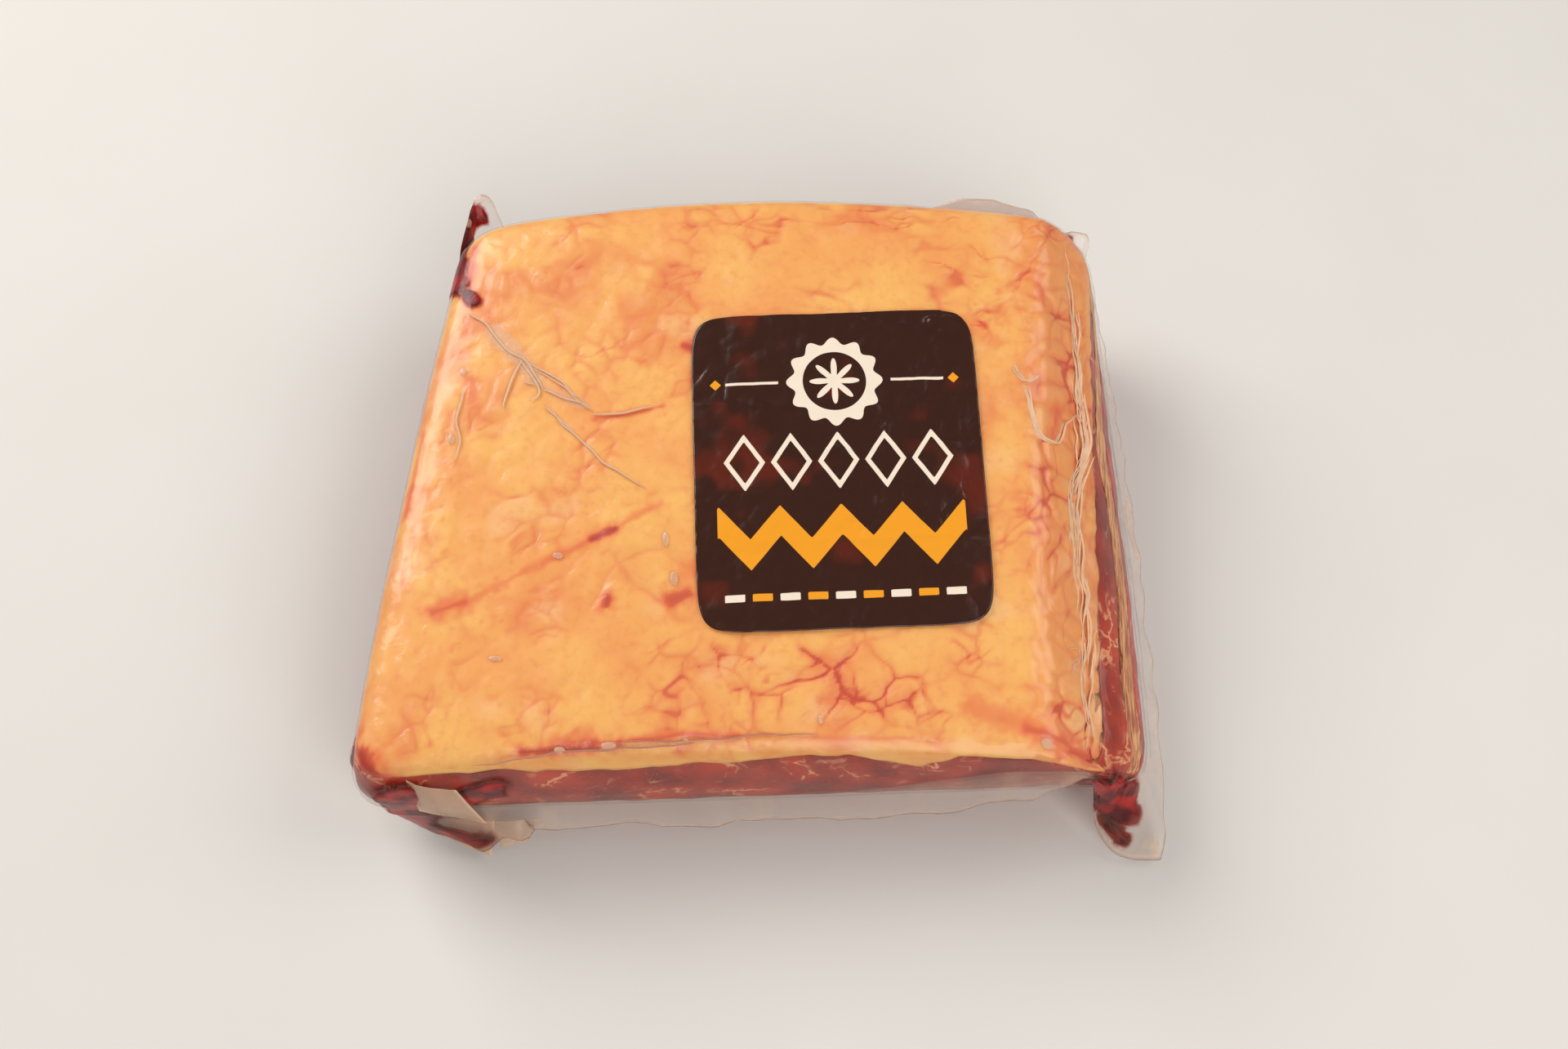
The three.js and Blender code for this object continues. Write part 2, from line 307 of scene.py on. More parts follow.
def raised(tree, height, strength, distance):
    """The socket of a normal bent by a height, with the distance in metres."""
    inputs = {"Height": height, "Strength": strength, "Distance": distance}
    return add_node(tree, "ShaderNodeBump", inputs).outputs[0]


def surface(tree, output, base, roughness, **inputs):
    """Shows a Principled surface, its other inputs named with underscores for spaces."""
    inputs = {name.replace("_", " "): value for name, value in inputs.items()}
    shader = add_node(tree, "ShaderNodeBsdfPrincipled",
                      {"Base Color": base, "Roughness": roughness, **inputs})
    tree.links.new(shader.outputs[0], output.inputs[0])


def muscle_material(name, dark, red, pale):
    """Raw lean beef, cut and moist: fibre bundles 1.2 mm wide run along the muscle, with
    darker blood between them, pale flecks of marbling and a wet, uneven gloss."""
    material, tree, output = new_material(name)
    place = object_place(tree)
    # Bundles 1.2 mm wide and some 12 mm long, so the pattern is ten times finer across.
    grain = add_node(tree, "ShaderNodeMapping", {"Vector": place, "Scale": (850, 90, 850)})
    fibres = soft_pattern(tree, grain.outputs[0], 1, 4, roughness=0.6)[0]
    patches = soft_pattern(tree, place, 70, 3)[0]
    flecks = soft_pattern(tree, place, 190, 5, distortion=0.8)
    base = colour_mix(tree, ramp(tree, patches, 0.35, 0.68), linear(dark), linear(red))
    base = colour_mix(tree, ramp(tree, fibres, 0.45, 0.75, end=0.4), base, linear(red))
    base = colour_mix(tree, ramp(tree, flecks[0], 0.62, 0.74, end=0.6), base, linear(pale))
    # Threads of fat 0.6 mm wide between some of the bundles, in a net of bent 13 mm cells.
    bend = add_node(tree, "ShaderNodeVectorMath", {0: flecks[1], 1: (0.01, 0.01, 0.01),
                                                   2: place}, operation="MULTIPLY_ADD")
    net = add_node(tree, "ShaderNodeTexVoronoi", {"Vector": bend.outputs[0], "Scale": 75},
                   feature="DISTANCE_TO_EDGE")
    share = worked_out(tree, "MULTIPLY", ramp(tree, net.outputs[0], 0.05, 0.015),
                       ramp(tree, patches, 0.5, 0.58, end=0.75))
    base = colour_mix(tree, share, base, linear(pale))
    surface(tree, output, base, ramp(tree, patches, 0, 1, 0.25, 0.5),
            Normal=raised(tree, fibres, 0.35, 0.0004), Subsurface_Weight=0.12,
            Subsurface_Radius=(1, 0.25, 0.15), Subsurface_Scale=0.003)
    return material


def finish_piece(piece, material, slot, *nodes):
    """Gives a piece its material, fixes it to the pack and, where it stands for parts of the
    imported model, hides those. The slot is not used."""
    piece.data.materials.append(material)
    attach(piece, "root")
    if nodes:
        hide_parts(*nodes)


def lean_place(a, b, c):
    """The loin's surface from a cube's. Its right side follows the seam for the lower five
    ninths of the rows and stands up from the seam's top end to the fat for the rest."""
    rise = (c + 1) / 2
    side, level = seam_line(np.minimum(rise / SEAM_SHARE, 1), b, SEAM_THICKNESS / 2)
    u = between(-1, side, (a + 1) / 2)
    above = np.maximum(rise - SEAM_SHARE, 0) / (1 - SEAM_SHARE)
    w = between(level, fat_floor(u, b) - above / 300, above)
    sunk = 0.35 + 0.3 * noise(u * HALF_WIDTH + 31 * b, w * 60 + b * HALF_DEPTH, 7, 21)
    keep = 1 - sunk / 100
    return block_point(u * keep, b * keep, w) + [0, 0, MEAT_LIFT]


lean_material = muscle_material("raw_lean_beef", "#741408", "#C03A1E", "#E8A878")
lean = ring_bodies("lean_meat", [lean_place(*cube_rings(190, 22, 48))])
finish_piece(lean, lean_material, "lean", "lean_loin")


# The side muscle: the strip along the right edge, brighter red where it meets the film, and
# the seam of hard pale fat that holds it to the loin and widens to a band on the right side.
def seam_place(a, b, c):
    """The seam's surface from a cube's, with a ragged upper and lower edge."""
    s = (a + 1) / 2
    y = b * HALF_DEPTH
    ragged = 0.9 * noise(y, c * 6, 6, 31) + 0.4 * noise(y, c * 6, 2.2, 32)
    u, w = seam_line(s, b, c * (SEAM_THICKNESS / 2 + ragged * s))
    keep = 1 - (0.2 + 0.25 * noise(y, c * 5, 2.6, 33) ** 2) / 100
    return block_point(u * keep, b * keep, w) + [0, 0, MEAT_LIFT]


def side_muscle_place(a, b, c):
    """The side muscle's surface from a cube's, filling the corner under the seam."""
    u, w = seam_line((a + 1) / 2, b, -SEAM_THICKNESS / 2)
    keep = 1 - (0.35 + 0.3 * noise(b * HALF_DEPTH, c * 25, 6, 35)) / 100
    return block_point(u * keep, b * keep, w * (c + 1) / 2) + [0, 0, MEAT_LIFT]


def seam_material():
    """Seam fat and connective tissue: hard, ivory, in threads 0.8 mm wide that run along the
    band, with pink and brown showing between them."""
    material, tree, output = new_material("seam_fat_and_sinew")
    place = object_place(tree)
    grain = add_node(tree, "ShaderNodeMapping", {"Vector": place, "Scale": (1250, 110, 1250)})
    threads = soft_pattern(tree, grain.outputs[0], 1, 4, distortion=0.6)[0]
    pink = ramp(tree, soft_pattern(tree, place, 95, 3)[0], 0.52, 0.72, end=0.75)
    base = colour_mix(tree, ramp(tree, threads, 0.38, 0.62), linear("#9A4420"), linear("#E6A866"))
    base = colour_mix(tree, pink, base, linear("#A83020"))
    surface(tree, output, base, 0.42, Normal=raised(tree, threads, 0.6, 0.0006),
            Subsurface_Weight=0.15, Subsurface_Radius=(1, 0.5, 0.3), Subsurface_Scale=0.003)
    return material


seam = ring_bodies("seam_band", [seam_place(*cube_rings(150, 12, 14))])
finish_piece(seam, seam_material(), "seam", "seam_fat")
side_material = muscle_material("raw_side_muscle", "#8A180E", "#C8321C", "#E8A078")
side = ring_bodies("side_strip", [side_muscle_place(*cube_rings(120, 12, 24))])
finish_piece(side, side_material, "side_muscle", "side_muscle")


# The fat cap: a finger's breadth of firm cream fat over the loin, in lobules parted by thin
# blood veins, folded at the back right and along the ridge. It carries the red stains where
# juice has gathered in the film's creases.
FAT_GRID = (300, 262)
SHEET_GAP = 0.5
# Juice stains as strokes on the top: ends in mm, half width in mm, strength.
STAINS = (
    ((-94, -46), (-85, -43), 2.2, 0.6), ((-85, -43), (-64, -31), 1.1, 0.35),
    ((-64, -31), (-50, -24.5), 1.2, 0.5), ((-50, -24.5), (-43, -22), 1.7, 0.95),
    ((-43, -22), (-30, -13), 1.2, 0.4), ((-51, 14.6), (-30, 19.6), 0.8, 0.6),
    ((-66, -86), (-40, -83.2), 2.3, 0.85), ((-58, -84), (-49, -82.4), 2.6, 0.6),
    ((-40, -83), (-6, -81.4), 1.2, 0.6), ((-6, -81.4), (42, -83), 0.8, 0.35),
    ((59, -73), (75, -79), 3.6, 0.42), ((75, -79), (92, -84.5), 3.4, 0.62),
    ((-44, -45), (-43.4, -43), 2.2, 0.85), ((-27, -43), (-22, -41), 2.8, 0.75),
    ((-24, -36), (-20, -33), 4.5, 0.35), ((66, 48), (67.5, 46.5), 1.5, 0.7),
    ((-25, 38), (-22, 37), 1.8, 0.8), ((-89, 28), (-88, 20), 2.2, 0.45),
    ((-117, -86), (-112, -94), 5, 0.95), ((-92, 76), (-92, 60), 2.6, 0.7),
    ((-104, 10), (-107, -16), 1.6, 0.55), ((87, -84), (94, -85), 2.4, 0.7),
    ((90, 20), (88, 12), 1.8, 0.55), ((86, 60), (87, 54), 1.2, 0.5),
)


def cells(x, y, size, seed):
    """Distance in mm from the nearest border between cells size mm across. Each square of a
    grid holds one centre at random, and a border lies midway between two centres."""
    jitter = np.random.default_rng(seed).uniform(0.08, 0.92, (64, 64, 2))
    column, row = np.floor(x / size).astype(int), np.floor(y / size).astype(int)
    nearest, second = np.full(x.shape, 1e9), np.full(x.shape, 1e9)
    for i in (-1, 0, 1):
        for j in (-1, 0, 1):
            centre = jitter[(column + i) % 64, (row + j) % 64]
            distance = np.hypot((column + i + centre[..., 0]) * size - x,
                                (row + j + centre[..., 1]) * size - y)
            second = np.minimum(second, np.maximum(distance, nearest))
            nearest = np.minimum(distance, nearest)
    return (second - nearest) / 2


def turned_lines(x, y, degrees, size, stretch, seed):
    """Wavy lines as the zero level of noise drawn out along a direction: 1 on the line."""
    c, s = math.cos(math.radians(degrees)), math.sin(math.radians(degrees))
    along, across = (x * c + y * s) / stretch, y * c - x * s
    level = noise(along, across, size, seed) + 0.35 * noise(along, across, size / 2.3, seed + 1)
    return np.exp(-(level / 0.09) ** 2)


def spot(x, y, centre, size):
    """A soft round or oval patch: 1 in its middle, falling to 0 about its size away."""
    return np.exp(-((x - centre[0]) / size[0]) ** 2 - ((y - centre[1]) / size[1]) ** 2)


def stroke(x, y, start, end, half):
    """A soft stroke along a line: 1 in its middle, falling off with the distance from it."""
    dx, dy = end[0] - start[0], end[1] - start[1]
    share = np.clip(((x - start[0]) * dx + (y - start[1]) * dy) / (dx * dx + dy * dy), 0, 1)
    distance = np.hypot(x - start[0] - share * dx, y - start[1] - share * dy)
    return np.exp(-(distance / half) ** 2)


def fat_pattern(x, y):
    """Veins, stain, tone, pale patches and relief of the fat at places on its sheet, in mm.
    Cell borders, long wavy lines and short dashes are drawn where the real fat has them."""
    bent_x = x + 4 * noise(x, y, 21, 41) + 1.6 * noise(x, y, 7, 42) + 0.5 * noise(x, y, 2.6, 40)
    bent_y = y + 4 * noise(x, y, 21, 43) + 1.6 * noise(x, y, 7, 44) + 0.5 * noise(x, y, 2.6, 39)
    large, small = cells(bent_x, bent_y, 17, 45), cells(bent_x, bent_y, 8.5, 46)
    patch = noise(x, y, 27, 47) + 0.7 * noise(x, y, 10, 48)
    fine_patch = noise(x, y, 12, 49) + 0.5 * noise(x, y, 4, 50)
    network = spot(x, y, (22, -66), (44, 15)) + 0.7 * spot(x, y, (-32, -35), (16, 14))
    network = np.clip(network, 0, 1)
    right = smooth(x, 72, 86)
    back_right = smooth(x * 0.35 + y, 42, 66) * smooth(x, -30, 10)
    borders = np.exp(-(large / 0.5) ** 2) * (0.12 + 0.95 * network)
    borders = borders * smooth(patch + network, -0.3, 0.6)
    borders = borders + np.exp(-(small / 0.45) ** 2) * (
        0.5 * right + 0.35 * network * smooth(fine_patch, 0, 0.6)
        + 0.45 * smooth(fine_patch, 0.1, 0.8))
    fine = cells(bent_x, bent_y, 4.6, 38)
    borders = borders + 0.3 * np.exp(-(fine / 0.3) ** 2) * smooth(patch + fine_patch, 0.2, 1.4)
    folds = turned_lines(bent_x, bent_y, -14, 7, 3.2, 51) * back_right
    folds = folds * smooth(fine_patch, -0.5, 0.5)
    folds = folds + turned_lines(bent_x, bent_y, 82, 6.5, 2.6, 53) * right * 0.8
    dashes = turned_lines(bent_x, bent_y, 38, 8, 2.2, 55) * smooth(fine_patch, 0.25, 0.85)
    specks = smooth(noise(bent_x, y, 2.2, 36), 0.5, 0.95) * smooth(noise(x, y, 13, 37), -0.1, 0.6)
    vein = np.clip(borders + 0.85 * folds + 0.6 * dashes + 0.5 * specks, 0, 1)
    vein = vein * (0.6 + 0.4 * np.maximum(network, 0.5 * right))
    vein = vein * (0.55 + 0.6 * smooth(fine_patch, -0.8, 0.6))
    flush = smooth(patch + 0.5 * fine_patch, -0.1, 1.1) * 0.6 + 0.5 * right
    flush = flush + 0.3 * np.exp(-(small / 1.3) ** 2) * smooth(fine_patch, -0.6, 0.5)
    flush = flush + 0.35 * np.exp(-(large / 2.6) ** 2) * (0.25 + network)
    stain = np.zeros(x.shape)
    stain_x, stain_y = bent_x * 0.3 + x * 0.7, bent_y * 0.3 + y * 0.7
    wobble = 1 + 0.5 * noise(x, y, 3.2, 57) + 0.3 * noise(x, y, 1.4, 58)
    for start, end, half, strength in STAINS:
        here = strength * stroke(stain_x, stain_y, start, end, half * wobble)
        stain = np.maximum(stain, here)
    pale = smooth(noise(x, y, 15, 59) + 0.4 * noise(x, y, 5, 60), 0.35, 1.0)
    pale = np.maximum(pale, 0.7 * smooth(small, 1.2, 3.4) * smooth(patch, -0.2, 0.8))
    lobules = smooth(large, 0, 4) * (0.15 + 0.35 * network) + smooth(small, 0, 2.5) * (
        0.12 + 0.45 * right)
    grooves = 0.35 * folds + 0.3 * vein
    relief = lobules - grooves + 0.35 * noise(x, y, 19, 61) + 0.08 * noise(x, y, 3.5, 62) - 0.3
    relief = np.maximum(relief, -0.9)
    return {"vein": np.clip(vein, 0, 1), "flush": np.clip(flush, 0, 1),
            "stain": np.clip(stain, 0, 1), "pale": pale}, relief


def fat_surface(points, u, v):
    """Adds the relief to points of the block's top and side, given their places across and
    along. Where the surface turns down, the pattern goes on as if the sheet were laid flat:
    each mm of drop counts as a mm outwards."""
    drop = np.maximum(top_height(u, v) - points[..., 2], 0)
    out = np.stack([u * abs(u) ** 8, v * abs(v) ** 8], -1)
    out = out / (np.linalg.norm(out, axis=-1)[..., None] + 1e-4)
    values, relief = fat_pattern(points[..., 0] + out[..., 0] * drop,
                                 points[..., 1] + out[..., 1] * drop)
    level = smooth(drop, 5, 0)
    lifted = points.copy()
    lifted[..., 2] += relief * level
    lifted[..., :2] += out * (relief * 0.5 * (1 - level))[..., None]
    return lifted, values


def grid_faces(columns, rows):
    """Four-cornered faces of a grid from front to back, and the numbers of its border points,
    round from its front left corner."""
    index = np.arange(columns * rows).reshape(rows, columns)
    over = np.stack([index[:-1, :-1], index[:-1, 1:], index[1:, 1:], index[1:, :-1]], -1)
    border = np.concatenate([index[0, :-1], index[:-1, -1], index[-1, :0:-1], index[:0:-1, 0]])
    return over.reshape(-1, 4), border


def fat_cap():
    """A fine grid over the top, then rings down the side and in under the fat."""
    columns, rows = FAT_GRID
    u, v = np.meshgrid(*(0.25 * np.sin(line * np.pi / 2) + 0.75 * line
                         for line in (np.linspace(-1, 1, columns), np.linspace(-1, 1, rows))))
    top, values = fat_surface(block_point(u, v, 1), u, v)
    over, border = grid_faces(columns, rows)
    side_u, side_v = u.ravel()[border], v.ravel()[border]
    share = np.linspace(0, 1, 9)[1:, None]
    side = block_point(side_u, side_v, between(1, fat_floor(side_u, side_v), share))
    inner = np.linspace(1, 0.05, 6)[1:, None]
    under_u, under_v = side_u * inner, side_v * inner
    below = block_point(under_u, under_v, fat_floor(under_u, under_v))
    side, side_values = fat_surface(side, side_u + 0 * share, side_v + 0 * share)
    hidden = np.zeros(below[..., 0].size + 1)
    values = {key: np.concatenate([number.ravel(), side_values[key].ravel(), hidden])
              for key, number in values.items()}
    points = np.concatenate([top.reshape(-1, 3), side.reshape(-1, 3), below.reshape(-1, 3),
                             below[-1].mean(0)[None]]) + [0, 0, MEAT_LIFT]
    around, count = len(border), len(share) + len(inner)
    ring = columns * rows + np.arange(around)
    join = np.stack([border, ring, np.roll(ring, -1), np.roll(border, -1)], 1)
    faces = [over, join, ring_faces(count, around, columns * rows),
             fan_faces(ring + (count - 1) * around, len(points) - 1, False)]
    return add_object("fat", points, faces, values)


def fat_material():
    """Beef fat: firm, waxy and cream yellow, slightly see-through, with blood in fine veins.
    Light enters it and comes out softened, so it glows a little at its edges."""
    material, tree, output = new_material("beef_fat")
    place = object_place(tree)
    vein, flush, stain, pale = mesh_values(tree, "vein", "flush", "stain", "pale")
    # Soft clouds 20 mm across, and a mottle 2 mm across from the fat's own grains.
    warm = ramp(tree, soft_pattern(tree, place, 48, 3)[0], 0.36, 0.64)
    mottle = soft_pattern(tree, place, 420, 4)[0]
    base = colour_mix(tree, warm, linear("#F0A65A"), linear("#F4B964"))
    base = colour_mix(tree, flush, base, linear("#E88A4E"))
    base = colour_mix(tree, worked_out(tree, "MULTIPLY", pale, 0.4), base, linear("#F6C48C"))
    base = colour_mix(tree, ramp(tree, mottle, 0.5, 0.75, end=0.4), base, linear("#E58A52"))
    # Blood is orange red where it is thin and dark red where it is deep.
    for blood, thin, deep in ((vein, "#E47C48", "#C6422A"), (stain, "#E2663E", "#A4181C")):
        base = colour_mix(tree, ramp(tree, blood, 0, 0.6, end=0.9), base, linear(thin))
        base = colour_mix(tree, ramp(tree, blood, 0.5, 1, end=0.9), base, linear(deep))
    surface(tree, output, base, 0.45, Normal=raised(tree, mottle, 0.25, 0.0003),
            Subsurface_Weight=0.2, Subsurface_Radius=(1, 0.45, 0.2), Subsurface_Scale=0.004)
    return material


finish_piece(fat_cap(), fat_material(), "fat", "fat_cap")


# Sinew: threads of torn connective tissue left on the fat along the ridge when the cut was
# trimmed, ivory and wet, some lying along the ridge and some curled over the side.
def spaced(path, step, least):
    """A line's places every step mm, at least so many, and how far along they are."""
    path = np.asarray(path, float)
    run = np.concatenate([[0], np.cumsum(np.linalg.norm(np.diff(path, axis=0), axis=1))])
    where = np.linspace(0, run[-1], max(least, int(run[-1] / step)))
    return np.stack([np.interp(where, run, part) for part in path.T], 1), where


def tube(path, radius, flat=1.0, steps=8):
    """Rings round a smooth line through the given points, tapered at both ends. flat is the
    height of the section as a share of its width."""
    line, _ = spaced(path, 0.8, 8)
    for _ in range(3):
        line[1:-1] = (line[:-2] + 2 * line[1:-1] + line[2:]) / 4
    forward = np.gradient(line, axis=0)
    forward = forward / np.linalg.norm(forward, axis=1)[:, None]
    sideways = np.cross(forward, [0, 0, 1])
    sideways = sideways / (np.linalg.norm(sideways, axis=1)[:, None] + 1e-6)
    up = np.cross(sideways, forward)
    angle = np.linspace(0, 2 * np.pi, steps + 1)[:-1]
    share = np.linspace(-1, 1, len(line))
    size = (radius * np.sqrt(1 - 0.94 * abs(share) ** 3))[:, None, None]
    return line[:, None] + size * (sideways[:, None] * np.cos(angle)[:, None]
                                   + flat * up[:, None] * np.sin(angle)[:, None])


def top_at(x, y):
    """Height of the fat's top at places in plan, stepping towards them on the block."""
    u, v = np.zeros(np.shape(x)), np.zeros(np.shape(x))
    for _ in range(14):
        point = block_point(u, v, 1)
        u = np.clip(u + (x - point[..., 0]) / HALF_WIDTH, -1, 1)
        v = np.clip(v + (y - point[..., 1]) / HALF_DEPTH, -1, 1)
    _, relief = fat_pattern(point[..., 0], point[..., 1])
    return block_point(u, v, 1)[..., 2] + relief + MEAT_LIFT


def laid(path, lift):
    """A line in plan laid on the fat, with a point every 2 mm."""
    line, where = spaced(path, 2, 3)
    x, y = line.T
    x = x + 0.7 * noise(where, y, 6, 63)
    y = y + 0.7 * noise(where, x, 6, 64)
    return np.stack([x, y, top_at(x, y) + lift], 1)


# Threads drawn where the real ones are thickest: a line in plan and a radius in mm.
THREADS = (
    (((79.6, 26.2), (80.9, 16.9), (83.1, 9.5), (87.9, 8.5), (91.2, 15.9), (96.5, 21.2)), 0.9),
    (((96.5, 21.2), (98.2, 18.1), (99, 11.4), (97, 2), (94, -5)), 0.7),
    (((76.5, 33), (79.6, 26.2), (84, 29)), 0.7), (((95.5, 66), (97.3, 55), (97.6, 43)), 0.7),
    (((96.5, 46), (98.3, 36), (97.6, 27), (99, 19)), 0.6),
    (((88, -55), (91.5, -53), (92.4, -57.5), (89.5, -59), (92.5, -62)), 0.3),
)
threads = []
for number, (path, radius) in enumerate(THREADS):
    # Each is a bundle of four strands that part and meet again.
    for strand in range(4):
        line = laid(path, 0.1)
        run = np.arange(len(line)) * 2.0
        seed = 4 * number + strand
        line[:, 0] += radius * (strand - 1.5) * 0.5 + 0.7 * noise(run, run * 0, 7, 200 + seed)
        line[:, 1] += 0.7 * noise(run, run * 0 + 3, 7, 300 + seed)
        threads.append(tube(line, radius * 0.42, 0.6))
# The rest run along the ridge: each starts somewhere along it and wavers as it goes.
thread_random = np.random.default_rng(91)
for _ in range(46):
    start = thread_random.uniform(-84, 62)
    length = thread_random.uniform(8, 34)
    y = start + np.linspace(0, length, 9)
    ridge = np.interp(y, [-85, -40, -5, 12, 45, 80], [94.5, 94.5, 94, 99, 98, 96])
    x = ridge + thread_random.normal(0, 0.9) + np.cumsum(thread_random.normal(0, 0.45, 9))
    threads.append(tube(laid(np.stack([x, y], 1), 0.05), thread_random.uniform(0.16, 0.42), 0.7))
sinew = ring_bodies("sinew_threads", threads)
sinew_material, tree, output = new_material("wet_sinew")
sinew_clouds = soft_pattern(tree, object_place(tree), 300, 2)[0]
surface(tree, output, colour_mix(tree, sinew_clouds, linear("#DE9A6E"), linear("#F6D3AC")), 0.35,
        Subsurface_Weight=0.2, Subsurface_Radius=(1, 0.5, 0.3), Subsurface_Scale=0.002)
finish_piece(sinew, sinew_material, "seam")


# The vacuum bag: two sheets of clear barrier film shrunk on to the meat and welded to each
# other all round. The weld stands off as a fin that hangs down at the front and turns up at
# the back, with an ear at each corner, and the film shows by its gloss and its folds.
ROOT_HEIGHT = (26, 24, 30, 26)
FIN_REACH = (4.5, 6.5, 9, 6)
FIN_EDGE_HEIGHT = (11, 14, 28, 19)
FIN_RIPPLE, FIN_RIPPLES = 1, 9
# Along the front the root climbs towards the right corner, where the bag is pulled tight.
ROOT_CLIMB, EDGE_CLIMB, CLIMB_PLACES = 17, 8, (0.55, 0.9, 0.92, 1)
# Film points along each side, rows over the top and rows from there down to the weld.
FILM_AROUND, FILM_OVER, FILM_DOWN = 150, 82, 19
# Ears and flaps along the fin's edge: sides from the front left corner, then X, Y, Z in mm.
EAR_LINES = (
    ((3.95, -123, -77, 12.5), (3.985, -123, -82, 10.5), (4.005, -118.5, -87.2, 8.3),
     (4.05, -105, -95.2, 5.5), (4.1, -90.5, -101, 3.8), (4.135, -81.5, -104.2, 3.2),
     (4.139, -80.2, -97, 8), (4.155, -76, -98.8, 6.2), (4.18, -69.6, -100.6, 5.8),
     (4.185, -68, -95.4, 9.8)),
    ((0.77, 56, -93.4, 14.5), (0.83, 69, -92, 17), (0.88, 80, -91, 21.5),
     (0.905, 86, -90.3, 28), (0.922, 90, -89.7, 35), (0.935, 93.2, -89.4, 39.5),
     (0.944, 95.2, -89.6, 36), (0.952, 96.9, -90, 28), (0.96, 98.4, -91.6, 19),
     (0.968, 99.6, -94.5, 10), (0.976, 102, -99.5, 5.5), (0.984, 106, -104.4, 3.6),
     (0.992, 112, -106.2, 3.2), (1.002, 120.8, -106, 3.2), (1.02, 122.9, -97.5, 5),
     (1.08, 122.9, -78, 9)),
    ((1.93, 113.8, 74, 18), (1.955, 111.5, 80, 24), (1.97, 108.5, 84.5, 32),
     (1.978, 106.6, 86.8, 38), (1.984, 107.8, 89.5, 39.5), (1.99, 108.8, 93, 40),
     (1.996, 107.8, 95.4, 40.5), (2.004, 104.5, 96, 41), (2.012, 101.5, 95.6, 42),
     (2.02, 98.5, 93, 44), (2.032, 94, 92.6, 48.5), (2.06, 88.6, 97, 51.5),
     (2.14, 75, 101, 52.4), (2.2, 64, 102.3, 51.5), (2.27, 50, 101.5, 42)),
    ((2.93, -84.5, 92.5, 42), (2.95, -87, 98.6, 46), (2.965, -89, 103, 47.5),
     (2.978, -91.5, 105.6, 48), (2.988, -94.2, 106.2, 48), (2.997, -96.6, 104.6, 47.5),
     (3.006, -98.2, 100, 46.5), (3.018, -99.6, 93.6, 45), (3.03, -100.9, 88, 43),
     (3.05, -101.2, 81, 41), (3.07, -101.8, 76, 39), (3.1, -102.5, 69, 34)),
)
# Juice gathered under the film: both ends of each pocket, radius and depth in mm.
JUICE = (
    ((-118, -80, 34), (-106, -91, 38), 4.5, 0.8), ((-103, -92.5, 37), (-102, -94, 20), 8, 1.5),
    ((-100, -94.5, 11), (-86, -97, 7), 5.5, 1.2), ((-86, -93, 33), (-77, -92, 38), 5, 0.6),
    ((98, -89, 33), (106, -90, 26), 6, 2), ((102, -91, 20), (107, -92, 15), 6, 2),
    ((104, -94, 12), (109, -99, 7), 3.6, 1.6), ((99.5, 89, 43), (102, 92, 41.5), 2.4, 0.8),
    ((-95, 98, 46.5), (-95.5, 88, 45), 4.2, 0.8), ((-97, 91, 44), (-99, 80, 42), 4, 0.8),
    ((-97, 73, 58), (-95, 61, 61), 5, 0.5), ((-95, 61, 61), (-89, 54, 62.5), 2.8, 0.2),
)
# Trapped air makes frosty patches on the juice and the fat; some of them are painted glare,
# white glints where the film catches the light: both ends, radius and strength.
FROST_AND_GLARE = (
    ((-98.9, 79.5, 44), (-98, 76.5, 46), 2.6, 1), ((-96.8, 96, 46), (-94.5, 93.5, 46), 2, 0.8),
    ((62, 102, 47), (88, 96, 48), 6, 0.25),
    ((-106, -90, 40), (-98, -93, 37), 2.4, 0.5), ((104.6, -89, 14), (106.5, -95, 10), 1.2, 0.7),
    ((-82, 43, 63), (-68, 27, 61), 3.2, 0.45), ((-70, 27, 61), (-55, 19, 61), 2.6, 0.35),
    ((-97, -97, 7), (-88, -99, 5), 2.2, 0.5), ((112, -99, 6), (118, -101, 5), 3, 0.25),
    ((-99, -93, 30), (-98, -95, 27), 1.6, 0.8), ((70, 101, 47), (72, 101, 47), 1.8, 0.7),
    ((119, -10, 17), (117, 4, 18), 2.4, 0.4), ((-108, -80, 44), (-104, -70, 48), 3, 0.22),
)


def side_place(at):
    """Place round the unit square, for at in sides from the front left corner."""
    side = np.floor(at).astype(int) % 4
    t = 2 * (at - np.floor(at)) - 1
    one = np.ones(np.shape(at))
    return np.choose(side, [t, one, -t, -one]), np.choose(side, [-one, t, one, -t])


def by_side(sizes, at):
    """A size for each side, blended over the tenth of a side on each side of a corner."""
    side = np.floor(at).astype(int) % 4
    along = at - np.floor(at)
    sizes = np.asarray(sizes, float)
    here = between(sizes[(side + 3) % 4], sizes[side], smooth(along, -0.1, 0.1))
    return between(here, sizes[(side + 1) % 4], smooth(along, 0.9, 1.1))


def root_height(at):
    return by_side(ROOT_HEIGHT, at) + ROOT_CLIMB * rise_and_fall(at, *CLIMB_PLACES)


def root_point(at):
    """Where the two sheets leave the meat."""
    u, v = side_place(at)
    return block_point(u, v, root_height(at) / top_height(u, v))


def outward(at):
    """Level direction straight out of the block's side."""
    run = root_point((at + 0.01) % 4) - root_point((at - 0.01) % 4)
    out = np.stack([run[..., 1], -run[..., 0], 0 * run[..., 0]], -1)
    return out / np.linalg.norm(out, axis=-1)[..., None]


def fin_edge(at):
    """The fin's edge between the ears."""
    edge = root_point(at) + outward(at) * by_side(FIN_REACH, at)[..., None]
    ripple = FIN_RIPPLE * np.sin(at * FIN_RIPPLES * 2 * np.pi)
    climb = EDGE_CLIMB * rise_and_fall(at, *CLIMB_PLACES)
    edge[..., 2] = by_side(FIN_EDGE_HEIGHT, at) + climb + ripple
    return edge


